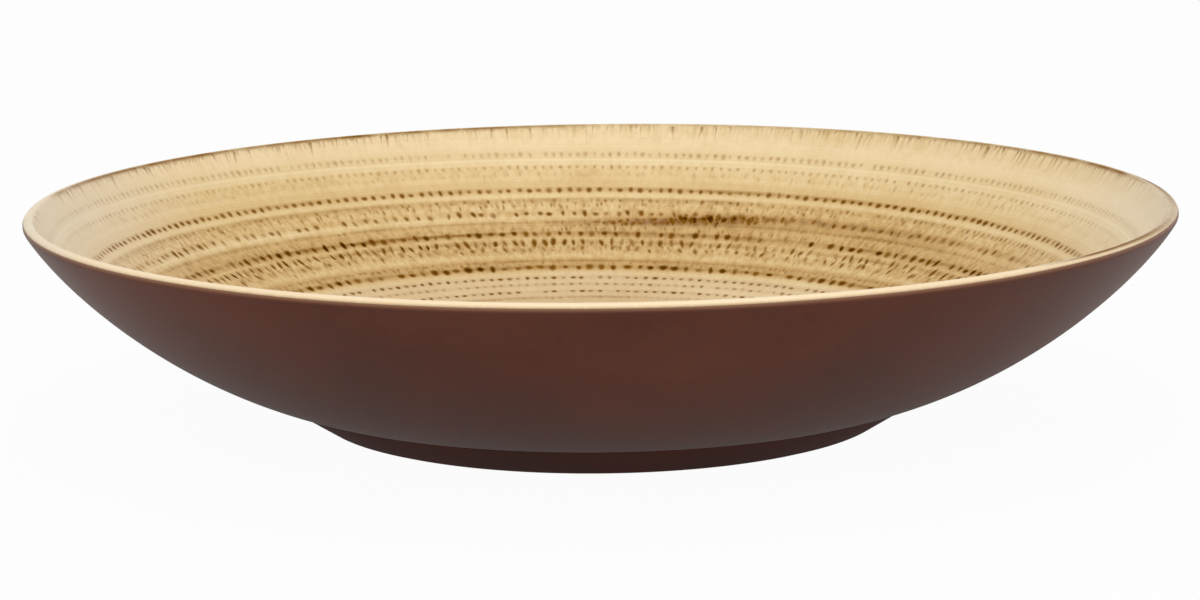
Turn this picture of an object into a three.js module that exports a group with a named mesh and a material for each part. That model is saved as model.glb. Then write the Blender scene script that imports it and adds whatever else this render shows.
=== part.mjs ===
import * as THREE from 'three';

// Deep coupe plate, in millimetres, standing on its foot at z = 0 with +Z up.
// Every piece is turned about the Z axis from a half section drawn in radius and height.

// Overall size
const RIM_RADIUS = 130;
const PLATE_HEIGHT = 49.4;

// Lip: a half round, with the cream coat folded over it down to a line on the outside
const LIP_ROUND = 1.4;
const LIP_LINE_DEGREES = 15;

// Wall: one swept curve from the foot seam up to the lip, thinning as it rises
const WALL_THICKNESS = 4.6;
const WALL_START_DEGREES = 16.8;
const WALL_START_REACH = 26.3;
const WALL_END_DEGREES = 58;
const WALL_END_REACH = 14.9;

// Floor of the well: a flat disc that curves up into the wall
const FLOOR_HEIGHT = 9;
const FLOOR_THICKNESS = 4.2;
const FLOOR_CURVE_WIDTH = 21;
const FLOOR_CURVE_REACH = 7;

// Foot: a turned ring luted under the shell, with a sloping outside and a bare standing face
const FOOT_TOP_RADIUS = 75;
const FOOT_HEIGHT = 7.55;
const FOOT_FLARE = 12;
const FOOT_FACE_WIDTH = 5.2;
const FOOT_INSIDE_LEAN = 2;
const FOOT_SHELF = 1.5;

// Coats: glaze on the clay, with the hair line that keeps two fired layers apart
const GLAZE = 0.45;
const BOND = 0.05;
const SEAM_GAP = 0.3;
const BARE_EDGE = 0.6;

// Decoration: rings of brown oxide marks, placed by how far they lie down the inside of the wall
// from the inner edge of the lip, or on the flat floor by their share of its radius
const BAND_WIDTH = 1.4;
const BAND_RISE = 0.15;
const RIM_BAND_DROP = 0.9;
const WALL_BAND_DROPS = [8.5, 12.5, 20, 23.5, 28, 31, 35, 38.5, 41, 46, 48.5, 53, 56, 59.5, 62.5];
const FLOOR_BAND_SHARES = [0.26, 0.48, 0.7, 0.92];

// How finely the round forms are cut
const TURN_FACETS = 48;
const WALL_STEPS = 8;
const FLOOR_STEPS = 4;
const LIP_STEPS = 2;

const fired = (color, roughness) => new THREE.MeshStandardMaterial({ color, roughness, metalness: 0 });
const bareClay = fired('#8d6247', 0.9);
const creamGlaze = fired('#e6cb9a', 0.35);
const brownGlaze = fired('#50332a', 0.5);
const footGlaze = fired('#3a2119', 0.55);
const rimOxide = fired('#7a4a22', 0.4);
const markOxide = fired('#6b431d', 0.4);

const plate = new THREE.Group();

// Points and surfaces of the half section

const at = (radius, height) => new THREE.Vector2(radius, height);

function away(from, degrees, reach) {
  const angle = THREE.MathUtils.degToRad(degrees);
  return at(from.x + reach * Math.cos(angle), from.y + reach * Math.sin(angle));
}

// A station is a point on the finished surface and the way that the surface faces there.
const station = (point, facing) => ({ point, facing: facing.clone().normalize() });

// The point that lies a given depth under the finished surface at a station.
const under = (place, depth) => place.point.clone().addScaledVector(place.facing, -depth);

const layer = (stations, depth) => stations.map((place) => under(place, depth));

// Where two straight faces meet when each is set back by a depth of its own.
function meet(first, firstDepth, second, secondDepth) {
  const a = first.facing;
  const b = second.facing;
  const reachA = a.dot(first.point) - firstDepth;
  const reachB = b.dot(second.point) - secondDepth;
  const spread = a.cross(b);
  return at((reachA * b.y - reachB * a.y) / spread, (a.x * reachB - b.x * reachA) / spread);
}

// A station on a curve drawn outwards from the axis, facing down and out, or up and in.
function below(curve, share) {
  const along = curve.getTangent(share);
  return station(curve.getPoint(share), at(along.y, -along.x));
}

function above(curve, share) {
  const along = curve.getTangent(share);
  return station(curve.getPoint(share), at(-along.y, along.x));
}

// Stations at even shares of a curve, from the first step to the last.
const steps = (count, first, make) =>
  Array.from({ length: count + 1 - first }, (_, index) => make((index + first) / count));

// Finished surface, from the middle of the underside, up the outside, over the lip and down the inside

const CLAY_DEPTH = GLAZE + BOND;
const recessHeight = FLOOR_HEIGHT - FLOOR_THICKNESS;
const footBaseRadius = FOOT_TOP_RADIUS - FOOT_FLARE;
const recessBase = at(footBaseRadius - FOOT_FACE_WIDTH, 0);
const recessTop = at(recessBase.x - FOOT_INSIDE_LEAN, recessHeight);
const seam = at(FOOT_TOP_RADIUS, FOOT_HEIGHT);
const lipCentre = at(RIM_RADIUS - LIP_ROUND, PLATE_HEIGHT - LIP_ROUND);

const lip = (degrees) => {
  const point = away(lipCentre, degrees, LIP_ROUND);
  return station(point, point.clone().sub(lipCentre));
};

const LIP_WIDEST = 0;
const LIP_CREST = 90;
const lipOutsideDegrees = WALL_END_DEGREES - 90;
const lipInsideDegrees = WALL_END_DEGREES + 90;
const lipGapDegrees = THREE.MathUtils.radToDeg(BOND / LIP_ROUND);
const wallEnd = lip(lipOutsideDegrees).point;

const wallCurve = new THREE.CubicBezierCurve(
  seam,
  away(seam, WALL_START_DEGREES, WALL_START_REACH),
  away(wallEnd, WALL_END_DEGREES, -WALL_END_REACH),
  wallEnd,
);

function wallInside(share) {
  const outside = below(wallCurve, share);
  const thickness = THREE.MathUtils.lerp(WALL_THICKNESS, 2 * LIP_ROUND, share);
  return station(under(outside, thickness), outside.facing.clone().negate());
}

const shelfEdge = at(recessTop.x + FOOT_SHELF, recessHeight);
const undersideCurve = new THREE.CubicBezierCurve(
  shelfEdge,
  at(shelfEdge.x + FLOOR_CURVE_REACH, recessHeight),
  away(seam, WALL_START_DEGREES, -FLOOR_CURVE_REACH),
  seam,
);

const floorEdge = at(FOOT_TOP_RADIUS - FLOOR_CURVE_WIDTH, FLOOR_HEIGHT);
const floorEnd = wallInside(0).point;
const floorCurve = new THREE.CubicBezierCurve(
  floorEdge,
  at(floorEdge.x + FLOOR_CURVE_REACH, FLOOR_HEIGHT),
  away(floorEnd, WALL_START_DEGREES, -FLOOR_CURVE_REACH),
  floorEnd,
);

const down = at(0, -1);
const up = at(0, 1);
const undersideMiddle = station(at(0, recessHeight), down);
const undersideRise = steps(FLOOR_STEPS, 0, (share) => below(undersideCurve, share));
const wallRise = steps(WALL_STEPS, 0, (share) => below(wallCurve, share));
const lipArc = (from, to) => steps(LIP_STEPS, 1, (share) => lip(THREE.MathUtils.lerp(from, to, share)));
const lipOutside = (line) => [...lipArc(lipOutsideDegrees, LIP_WIDEST), lip(line)];
const lipInside = (line) => [lip(line), ...lipArc(line, LIP_CREST), ...lipArc(LIP_CREST, lipInsideDegrees)];
const insideFall = [
  ...steps(WALL_STEPS, 1, (share) => wallInside(1 - share)),
  ...steps(FLOOR_STEPS, 1, (share) => above(floorCurve, 1 - share)),
  station(at(0, FLOOR_HEIGHT), up),
];

// Straight faces of the foot ring
const ceiling = station(recessTop, down);
const recessWall = station(recessTop, at(recessBase.y - recessTop.y, recessTop.x - recessBase.x));
const footBase = at(footBaseRadius, 0);
const footSide = station(seam, at(seam.y - footBase.y, footBase.x - seam.x));
const standingFace = station(footBase, down);
const bareLine = station(at(footBaseRadius, BARE_EDGE), down);
const shellSeam = wallRise[0];

// A named piece, turned from a half section that closes on itself or on the axis.
function turn(name, material, section) {
  const outline = THREE.ShapeUtils.isClockWise(section) ? section.slice().reverse() : section.slice();
  if (outline[0].x > 0) outline.push(outline[0].clone());
  const geometry = new THREE.LatheGeometry(outline, TURN_FACETS);
  geometry.rotateX(Math.PI / 2);
  const piece = new THREE.Mesh(geometry, material);
  piece.name = name;
  plate.add(piece);
}

// A coat of glaze that follows the stations, backed by the clay under it.
const coat = (stations) => [...layer(stations, GLAZE).reverse(), ...layer(stations, 0)];

// Clay shell: floor, wall and lip in one thrown piece
const shellSurface = [
  undersideMiddle,
  ...undersideRise,
  ...wallRise.slice(1),
  ...lipOutside(LIP_LINE_DEGREES),
  ...lipInside(LIP_LINE_DEGREES).slice(1),
  ...insideFall,
];
turn('clay_shell', bareClay, layer(shellSurface, CLAY_DEPTH));

// Foot ring: its top is seated against the underside of the shell
turn('foot_ring', bareClay, [
  meet(standingFace, 0, recessWall, CLAY_DEPTH),
  meet(standingFace, 0, footSide, CLAY_DEPTH),
  meet(shellSeam, GLAZE, footSide, CLAY_DEPTH),
  ...layer(undersideRise.slice(0, -1), GLAZE).reverse(),
  meet(ceiling, GLAZE, recessWall, CLAY_DEPTH),
]);

// Cream glaze over the lip and the whole inside
turn('interior_glaze', creamGlaze, coat([...lipInside(LIP_LINE_DEGREES + lipGapDegrees), ...insideFall]));

// Brown glaze on the outside of the wall, from the foot seam to the line under the lip
turn('wall_glaze', brownGlaze, coat([...wallRise, ...lipOutside(LIP_LINE_DEGREES)]));

// Dark glaze on the sloping side of the foot, wiped off above the standing face
const seamEnd = station(seam, seam.clone().sub(footBase));
turn('foot_glaze', footGlaze, [
  meet(seamEnd, SEAM_GAP, footSide, 0),
  meet(seamEnd, SEAM_GAP, footSide, GLAZE),
  meet(bareLine, 0, footSide, GLAZE),
  meet(bareLine, 0, footSide, 0),
]);

// Brown glaze in the hollow of the foot, wiped off above the standing face
turn('underside_glaze', brownGlaze, [
  undersideMiddle.point,
  recessTop,
  meet(bareLine, 0, recessWall, 0),
  meet(bareLine, 0, recessWall, GLAZE),
  meet(ceiling, GLAZE, recessWall, GLAZE),
  under(undersideMiddle, GLAZE),
]);

// The inside as a chain of flats that starts at the inner edge of the lip, for the rings laid on it.
const insideChain = layer([wallInside(1), ...insideFall], 0);

// The point a given distance down the chain, lifted off the flat that it lies on.
function onInside(drop, lift) {
  let left = drop;
  let index = 0;
  while (left > insideChain[index].distanceTo(insideChain[index + 1])) {
    left -= insideChain[index].distanceTo(insideChain[index + 1]);
    index += 1;
  }
  const along = insideChain[index + 1].clone().sub(insideChain[index]).normalize();
  const point = insideChain[index].clone().addScaledVector(along, left);
  return under(station(point, at(along.y, -along.x)), -lift);
}

// A low ridge of oxide round the inside, highest along its middle.
const band = (drop) => [
  onInside(drop - BAND_WIDTH / 2, BOND),
  onInside(drop, BOND + BAND_RISE),
  onInside(drop + BAND_WIDTH / 2, BOND),
];

const numbered = (index) => String(index + 1).padStart(2, '0');

// Brown edge just inside the lip
turn('rim_band', rimOxide, band(RIM_BAND_DROP));

// Rings of marks down the wall
WALL_BAND_DROPS.forEach((drop, index) => {
  turn(`wall_band_${numbered(index)}`, markOxide, band(drop));
});

// Rings of marks on the flat floor
FLOOR_BAND_SHARES.forEach((share, index) => {
  const radius = share * floorEdge.x;
  turn(`floor_band_${numbered(index)}`, markOxide, [
    at(radius - BAND_WIDTH / 2, FLOOR_HEIGHT + BOND),
    at(radius + BAND_WIDTH / 2, FLOOR_HEIGHT + BOND),
    at(radius, FLOOR_HEIGHT + BOND + BAND_RISE),
  ]);
});

export default plate;
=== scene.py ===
import math
from collections import namedtuple

import bmesh
import bpy
import numpy as np
from mathutils import Matrix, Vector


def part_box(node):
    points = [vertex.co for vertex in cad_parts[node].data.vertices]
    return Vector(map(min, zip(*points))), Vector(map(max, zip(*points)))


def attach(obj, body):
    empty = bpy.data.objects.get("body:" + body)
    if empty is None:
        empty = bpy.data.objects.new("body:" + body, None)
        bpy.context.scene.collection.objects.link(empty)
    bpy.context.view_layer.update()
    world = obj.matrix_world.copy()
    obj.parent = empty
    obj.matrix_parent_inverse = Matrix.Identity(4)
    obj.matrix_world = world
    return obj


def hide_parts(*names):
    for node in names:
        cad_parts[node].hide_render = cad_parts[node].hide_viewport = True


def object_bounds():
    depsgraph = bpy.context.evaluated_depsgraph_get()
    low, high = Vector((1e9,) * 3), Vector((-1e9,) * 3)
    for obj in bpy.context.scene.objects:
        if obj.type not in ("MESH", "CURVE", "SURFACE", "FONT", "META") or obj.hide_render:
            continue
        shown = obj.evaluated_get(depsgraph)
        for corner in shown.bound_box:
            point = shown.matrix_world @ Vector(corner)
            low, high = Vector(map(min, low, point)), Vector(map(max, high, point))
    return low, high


# Deep coupe plate: a thrown stoneware shell on a turned foot, cream glazed inside with rings of
# chatter marks, satin-matt brown outside. Shapes are worked out in millimetres and stored in metres.

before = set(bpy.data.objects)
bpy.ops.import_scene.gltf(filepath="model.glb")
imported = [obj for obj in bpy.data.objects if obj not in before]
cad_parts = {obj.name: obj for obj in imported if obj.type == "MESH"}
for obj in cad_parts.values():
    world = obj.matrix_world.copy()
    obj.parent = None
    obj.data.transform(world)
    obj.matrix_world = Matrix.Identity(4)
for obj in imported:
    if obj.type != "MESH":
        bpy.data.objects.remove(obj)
CAD_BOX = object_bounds()
MM = 0.001
FULL_TURN = 2 * math.pi

# Coats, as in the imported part
GLAZE = 0.45
BOND = 0.05
CLAY_DEPTH = GLAZE + BOND

# Overall sizes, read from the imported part
RIM_RADIUS = CAD_BOX[1].x / MM
PLATE_HEIGHT = CAD_BOX[1].z / MM
SEAM_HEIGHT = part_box("wall_glaze")[0].z / MM
FLOOR_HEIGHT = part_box("interior_glaze")[0].z / MM + GLAZE
RECESS_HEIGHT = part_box("underside_glaze")[1].z / MM - GLAZE

# Lip, wall, floor and foot
LIP_ROUND = 1.4
WALL_THICKNESS = 4.6
WALL_START_DEGREES = 16.8
WALL_START_REACH = 26.3
WALL_END_DEGREES = 58
WALL_END_REACH = 14.9
FLOOR_CURVE_WIDTH = 21
CURVE_REACH = 7
FOOT_TOP_RADIUS = 75
FOOT_FLARE = 12
FOOT_FACE_WIDTH = 5.2
FOOT_INSIDE_LEAN = 2
FOOT_SHELF = 1.5
SEAM_GAP = 0.3
BARE_EDGE = 0.6
EDGE_ROUND = 0.25

# Line where the two coats meet on the lip: degrees round the lip, how far it wanders, how far it rises
# at the left and right, and crests in a turn
LIP_LINE_DEGREES = 15
LIP_LINE_WANDER = 7
LIP_LINE_RISE = 14
LIP_LINE_TURNS = 24

# Rings of marks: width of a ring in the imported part, how far the throwing centre lies off the axis, and
# how far a mark stands up from the glaze and sinks into it
BAND_WIDTH = 1.4
OFF_CENTRE = 2.0
MARK_RISE = 0.06
MARK_SINK = 0.015

# How finely the round forms and the half section are cut, the step that slopes are taken over, and the
# angle past which an edge stays sharp
COLUMNS = 300
AROUND = np.arange(COLUMNS) * FULL_TURN / COLUMNS
LIP_POINTS = 60
WALL_POINTS = 400
RISE_POINTS = 120
FLOOR_POINTS = 200
SLOPE_STEP = 0.1
SHARP_DEGREES = 50

# The seed, its step from ring to ring, and what each pattern adds to have random draws of its own
RANDOM_SEED = 7
RING_SEED = 10
HALO_SEED = 1
LINE_SEED = 2
LIP_SEED = 3
MARK_SEED = 4
SMOKE_SEED = 5
DASH_SEED = 7
DASH_FADE_SEED = 8
EDGE_SEED = 501
TICK_SEED = 502
SINGE_SEED = 503
STREAK_SEED = 510


# Shape of the half section

def around_axis(radius, angle, height):
    """Points at a radius, angle and height about the plate's axis."""
    columns = np.broadcast_arrays(radius * np.cos(angle), radius * np.sin(angle), height)
    return np.stack(columns, -1)


def away(start, degrees, reach):
    """The point at a reach from another, in a direction in the half section."""
    angle = math.radians(degrees)
    return np.array([start[0] + reach * math.cos(angle), start[1] + reach * math.sin(angle)])


def bezier(points, shares):
    """Points along a cubic curve, and the unit directions there, at shares from 0 to 1."""
    a, b, c, d = (np.array(p, float) for p in points)
    u = np.asarray(shares, float)[:, None]
    place = (1 - u) ** 3 * a + 3 * u * (1 - u) ** 2 * b + 3 * u ** 2 * (1 - u) * c + u ** 3 * d
    along = (1 - u) ** 2 * (b - a) + 2 * u * (1 - u) * (c - b) + u ** 2 * (d - c)
    return place, along / np.linalg.norm(along, axis=1, keepdims=True)


def beside(along):
    """The way that the right side of a curve faces."""
    return np.stack([along[:, 1], -along[:, 0]], 1)


SEAM = np.array([FOOT_TOP_RADIUS, SEAM_HEIGHT])
LIP_CENTRE = np.array([RIM_RADIUS - LIP_ROUND, PLATE_HEIGHT - LIP_ROUND])
LIP_OUTSIDE_DEGREES = WALL_END_DEGREES - 90
LIP_INSIDE_DEGREES = WALL_END_DEGREES + 90
WALL_END = away(LIP_CENTRE, LIP_OUTSIDE_DEGREES, LIP_ROUND)
WALL_CURVE = (
    SEAM,
    away(SEAM, WALL_START_DEGREES, WALL_START_REACH),
    away(WALL_END, WALL_END_DEGREES, -WALL_END_REACH),
    WALL_END,
)


def wall_outside(count):
    """Points and outward facings up the outside of the wall, from the foot seam to the lip."""
    place, along = bezier(WALL_CURVE, np.linspace(0, 1, count))
    return place, beside(along)


def inside_section():
    """Points and facings down the inside, from the outside of the lip to the axis."""
    turn = np.radians(np.linspace(0, LIP_INSIDE_DEGREES, LIP_POINTS + 1)[:-1])
    lip_facing = np.stack([np.cos(turn), np.sin(turn)], 1)
    lip = LIP_CENTRE + LIP_ROUND * lip_facing
    shares = np.linspace(1, 0, WALL_POINTS)
    outside, along = bezier(WALL_CURVE, shares)
    facing = -beside(along)
    thickness = WALL_THICKNESS + (2 * LIP_ROUND - WALL_THICKNESS) * shares
    wall = outside + facing * thickness[:, None]
    edge = np.array([FOOT_TOP_RADIUS - FLOOR_CURVE_WIDTH, FLOOR_HEIGHT])
    low = wall[-1]
    curve = (edge, away(edge, 0, CURVE_REACH), away(low, WALL_START_DEGREES, -CURVE_REACH), low)
    rise, rise_along = bezier(curve, np.linspace(1, 0, RISE_POINTS)[1:])
    across = np.linspace(edge[0], 0, FLOOR_POINTS)[1:]
    flat = np.stack([across, np.full_like(across, FLOOR_HEIGHT)], 1)
    flat_facing = np.tile([0.0, 1.0], (len(flat), 1))
    return (
        np.concatenate([lip, wall, rise, flat]),
        np.concatenate([lip_facing, facing, -beside(rise_along), flat_facing]))


INSIDE, INSIDE_FACING = inside_section()
INSIDE_DROP = np.concatenate([[0], np.cumsum(np.linalg.norm(np.diff(INSIDE, axis=0), axis=1))])
INSIDE_DROP -= INSIDE_DROP[LIP_POINTS]
FULL_DROP = INSIDE_DROP[-1]


def drop_at(radius):
    """How far down the inside a radius lies, from the inner edge of the lip."""
    return np.interp(-radius, -INSIDE[LIP_POINTS:, 0], INSIDE_DROP[LIP_POINTS:])


WALL_DROP = float(drop_at(FOOT_TOP_RADIUS))


def inside_at(drop):
    """Radius, height and facing on the inside, at a drop below the lip's inner edge, or above it if less
    than 0."""
    return tuple(
        np.interp(drop, INSIDE_DROP, column)
        for column in (INSIDE[:, 0], INSIDE[:, 1], INSIDE_FACING[:, 0], INSIDE_FACING[:, 1])
    )


# Slow changes round the plate

def wrapped(angle):
    """The same angle within half a turn of the right side of the plate."""
    return (angle + math.pi) % FULL_TURN - math.pi


def wander(angle, seed, turns):
    """A smooth closed wave round the plate, from 0 to 1, with up to so many crests in a turn."""
    draw = np.random.default_rng(seed)
    total = np.zeros_like(np.asarray(angle, float))
    weight = 0
    for turn in range(1, turns + 1):
        size = 1 / math.sqrt(turn)
        total = total + size * np.cos(turn * angle + draw.uniform(0, FULL_TURN))
        weight += size * size / 2
    return np.clip(0.5 + total / (4 * math.sqrt(weight)), 0, 1)


def hump(value, middle, width):
    """A smooth rise to 1 at the middle."""
    return np.exp(-((value - middle) / width) ** 2)


def stretch(angle, middle, width):
    """A hump round the plate, with its middle and half width in degrees."""
    return hump(angle, math.radians(middle), math.radians(width))


# How uneven each kind of mark is round the plate: least strength, how much more at most, crests in a turn
HALO_PATCHES = (0.6, 0.8, 9)
LINE_PATCHES = (0.1, 1.8, 40)
EDGE_PATCHES = (0.6, 0.8, 120)
SINGE_PATCHES = (0.5, 1.0, 30)
MARK_PATCHES = (0.82, 0.34, 9)
DASH_PATCHES = (0.7, 0.6, 30)
TICK_PATCHES = (0.65, 0.5, 60)


def patchy(angle, seed, patches):
    """Strength of a kind of mark round the plate."""
    least, more, turns = patches
    return least + more * wander(angle, seed, turns)


# Rings of chatter marks

# Darkness from least to most, width and length of a mark, spacing, slant in degrees and its spread,
# scatter, share left out, darkness of the hair line along the ring and of the toasting round it, and
# how far the sizes vary
Style = namedtuple(
    "Style", "least most width length spacing slant spread scatter missing line halo vary")
STYLES = {
    "faint": Style(0.23, 0.34, 2.3, 2.9, 2.1, -4, 8, 0.14, 0.03, 0.05, 0.05, 0.22),
    "dotted": Style(0.22, 0.33, 2.0, 2.2, 2.2, -4, 8, 0.12, 0.03, 0.03, 0.02, 0.18),
    "bold": Style(0.50, 0.68, 3.0, 2.8, 2.6, -4, 12, 0.16, 0.00, 0.20, 0.08, 0.22),
    "thread": Style(0.22, 0.50, 2.2, 2.3, 1.9, 0, 14, 0.20, 0.15, 0.18, 0.08, 0.30),
    "comma": Style(0.36, 0.66, 2.7, 3.2, 2.9, -6, 20, 0.36, 0.10, 0.04, 0.06, 0.30),
    "hair": Style(0.16, 0.42, 2.1, 1.8, 1.9, 0, 14, 0.20, 0.15, 0.18, 0.08, 0.30),
    "heavy": Style(0.52, 0.98, 3.2, 3.5, 2.9, -4, 16, 0.24, 0.06, 0.26, 0.12, 0.30),
    "hung": Style(0.40, 0.78, 2.3, 4.8, 2.5, -4, 18, 0.26, 0.06, 0.22, 0.08, 0.25),
    "slanted": Style(0.26, 0.66, 2.3, 3.9, 2.5, -6, 24, 0.60, 0.12, 0.02, 0.06, 0.30),
    "long": Style(0.56, 1.02, 3.6, 3.6, 3.1, 0, 8, 0.24, 0.06, 0.24, 0.12, 0.35),
    "fine": Style(0.38, 0.68, 2.5, 2.0, 2.3, 0, 8, 0.12, 0.06, 0.08, 0.05, 0.22),
    "light": Style(0.22, 0.46, 2.2, 1.9, 2.2, 0, 8, 0.14, 0.08, 0.06, 0.05, 0.22),
}
WALL_STYLES = (
    "faint", "dotted", "bold", "thread", "comma", "hair", "heavy", "hung",
    "slanted", "hair", "long", "fine", "light", "fine", "hair")
FLOOR_STYLES = ("light", "fine", "light", "fine")

# Short dashes that hang between the rings: the ring above, how far below it, and their strength
DASH_STYLE = Style(0.12, 0.42, 1.5, 3.2, 1.7, -4, 8, 0.6, 0.12, 0, 0, 0.30)
DASHES = (
    ("wall_band_02", 2.4, 0.6), ("wall_band_04", 1.7, 1.0), ("wall_band_06", 2.4, 0.9),
    ("wall_band_08", 1.5, 1.0), ("wall_band_09", 1.6, 0.7), ("wall_band_10", 0.9, 0.9))

# Streaks that run down from the brown edge inside the lip: short dark ticks, and long pale runs that are
# darkest on the right, with their least darkness, how much more, and the middle and half width of that;
# and how far a streak may reach back towards the crest
TICK_STYLE = Style(0.08, 0.60, 1.5, 3.6, 1.2, 2, 10, 0.25, 0.18, 0, 0, 0.62)
RUN_STYLE = Style(0.06, 0.36, 1.3, 5.6, 1.7, 2, 4, 0.40, 0.20, 0, 0, 0.55)
RUN_LEAST = 0.6
RUN_MORE = 0.8
RUN_MIDDLE = 35
RUN_WIDTH = 40
STREAK_OVERRUN = 0.4

# Where the kiln left one ring darker: which ring, how far above it, how far the marks climb in a radian
# to the right, the middle and half width of the darkest marks, the stretch that takes them, from and to
# in degrees, and their least darkness and how much more
SMOKED_RING = "wall_band_06"
SMOKE_RISE = 1.8
SMOKE_CLIMB = 6.0
SMOKE_MIDDLE = math.radians(73.5)
SMOKE_WIDTH = math.radians(6)
SMOKE_STRETCH = (62, 80.5)
SMOKE_LEAST = 0.4
SMOKE_MORE = 0.7
SMOKE_STYLE = Style(0.68, 1.05, 3.0, 4.2, 1.5, -10, 24, 0.45, 0.06, 0, 0, 0.35)

# Toasting round the dark stretch: strength, middle and half width in degrees, rise above the ring and
# half depth
SMOKE_HAZES = ((0.34, 83, 9, 0.5, 1.6), (0.26, 74, 8, 1.6, 1.6), (0.12, 59, 12, 2.4, 2.3))

# Dotted line beside the dark stretch: from and to in degrees, how far above the ring, over how much of
# its end it fades, and its least darkness
TAIL_STRETCH = (66, 98)
TAIL_RISE = 1.3
TAIL_FADE = math.radians(12)
TAIL_LEAST = 0.1
TAIL_STYLE = Style(0.36, 0.66, 2.4, 2.6, 0.7, 0, 20, 0.80, 0.06, 0, 0, 0.30)

Ring = namedtuple("Ring", "node drop radius style seed")


def rings():
    """Every ring of marks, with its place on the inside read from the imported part."""
    named = [(f"wall_band_{i + 1:02d}", style) for i, style in enumerate(WALL_STYLES)]
    named += [(f"floor_band_{i + 1:02d}", style) for i, style in enumerate(FLOOR_STYLES)]
    made = []
    for index, (node, style) in enumerate(named):
        drop = float(drop_at(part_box(node)[1].x / MM)) + BAND_WIDTH / 2
        seed = RANDOM_SEED + RING_SEED * index
        made.append(Ring(node, drop, float(inside_at(drop)[0]), STYLES[style], seed))
    return made


RINGS = rings()


# Height of the low ridge that the tool left under each ring of the wall, its half width, how much paler
# it is, and the drops over which the relief starts at the lip and ends at the axis
RIDGE_HEIGHTS = (0.04, 0.02, 0.06, 0.015, 0.05, 0.015, 0.02, 0.015, 0.05, 0.015, 0.05, 0.04, 0.04, 0.03)
RIDGE_WIDTH = 1.05
RIDGE_PALENESS = 2.6
RELIEF_START = 4
RELIEF_END = 8


def ridges():
    """Drop and height of the low ridges between neighbouring rings of the wall."""
    drops = [ring.drop for ring in RINGS]
    pairs = zip(drops, drops[1:], RIDGE_HEIGHTS)
    return [((upper + lower) / 2, height) for upper, lower, height in pairs]


RIDGES = ridges()

# Groove, hair line and toasting along each ring
GROOVE_DEPTH = 0.03
GROOVE_WIDTH = 0.9
LINE_WIDTH = 0.7
LINE_RISE = 0.3
HALO_WIDTH = 1.5

# Toasting of the glaze down the inside, from the lip to the axis: drop and share of tan
TOAST_DROPS = (0, 5, 9, 14, 19, 24, 29, 33, 40, 48, 51, 58, 75, 140)
TOAST_SHARES = (0.17, 0.16, 0.26, 0.35, 0.42, 0.44, 0.47, 0.58, 0.49, 0.59, 0.50, 0.51, 0.52, 0.52)

# Patches toasted more, or less, than the rest of their ring: share, middle and half width in degrees,
# then middle and half width in drop
TOAST_PATCHES = (
    (-0.09, 40, 35, 13.5, 2.0), (0.06, 88, 16, 16.0, 2.2), (0.23, 46, 28, 28.4, 2.2),
    (-0.10, 138, 36, 29.3, 1.6), (0.11, 84, 11, 35.5, 1.6), (-0.08, 45, 28, 40.0, 2.0),
    (-0.12, 57, 16, 49.5, 2.4), (-0.13, 57, 18, 58.0, 3.5), (-0.07, 145, 20, 38.5, 1.5),
    (-0.06, 145, 20, 49.0, 1.5))

# Painted sheen near the lip at both sides, as paler glaze: share, middle and half width in the cosine of
# the angle, then middle and half width in drop
LIP_SIDE_SHEEN = (-0.07, 0.74, 0.25, 4, 5)

# Singed glaze at the lip: least share, how much more at the right, middle and half width of that in
# degrees, then middle and half width in drop
SINGE = (0.03, 0.04, 30, 28, 1.0, 2.2)

# Share of the marks that is left at the left and the right of the plate, where painted sheen washes them
# out
SHEEN_SIDE_SHARE = 0.62

# Short radial strokes of tan between the rings: drop and share
STROKE_DROPS = (0, 4, 7, 12, 14, 18, 22, 25, 28, 30, 33, 36, 39, 43, 46, 50, 53, 140)
STROKE_SHARES = (
    0.5, 0.4, 0.1, 0.3, 0.5, 0.2, 0.3, 1.0, 0.8, 0.5, 0.9, 0.6, 0.9, 0.8, 0.5, 0.4, 0.3, 0.3)


def relief(drop):
    """Height of the tool's ridges and grooves above the plain inside, in millimetres."""
    total = np.zeros_like(drop)
    for middle, height in RIDGES:
        total += height * hump(drop, middle, RIDGE_WIDTH)
    for ring in RINGS:
        total -= GROOVE_DEPTH * hump(drop, ring.drop, GROOVE_WIDTH)
    return total * np.clip(drop / RELIEF_START, 0, 1) * np.clip((FULL_DROP - drop) / RELIEF_END, 0, 1)


def sheen_washout(angle):
    """A share that falls at the left and the right of the plate, where painted sheen washes the marks
    out.
    """
    return np.clip(SHEEN_SIDE_SHARE + np.abs(np.sin(angle)), 0, 1)


def toasting(drop, angle):
    """How far the cream has turned to tan, less the painted sheen near the lip at both sides."""
    total = np.interp(drop, TOAST_DROPS, TOAST_SHARES)
    for share, middle, width, depth, reach in TOAST_PATCHES:
        total = total + share * stretch(angle, middle, width) * hump(drop, depth, reach)
    # Painted sheen: paler near the lip at both sides
    share, middle, width, depth, reach = LIP_SIDE_SHEEN
    total = total + share * hump(np.abs(np.cos(angle)), middle, width) * hump(drop, depth, reach)
    least, more, middle, width, depth, reach = SINGE
    singed = least + more * stretch(angle, middle, width)
    singed = singed * patchy(angle, RANDOM_SEED + SINGE_SEED, SINGE_PATCHES)
    total = total + singed * hump(drop, depth, reach)
    for ring in RINGS:
        strength = patchy(angle, ring.seed + HALO_SEED, HALO_PATCHES)
        total = total + ring.style.halo * strength * hump(drop, ring.drop, HALO_WIDTH)
    for middle, height in RIDGES:
        total = total - RIDGE_PALENESS * height * hump(drop, middle, RIDGE_WIDTH)
    smoke = next(ring for ring in RINGS if ring.node == SMOKED_RING)
    for strength, middle, width, rise, depth in SMOKE_HAZES:
        haze = strength * stretch(angle, middle, width)
        total = total + haze * hump(drop, smoke.drop - rise, depth)
    return np.clip(total, 0, 1)


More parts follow.
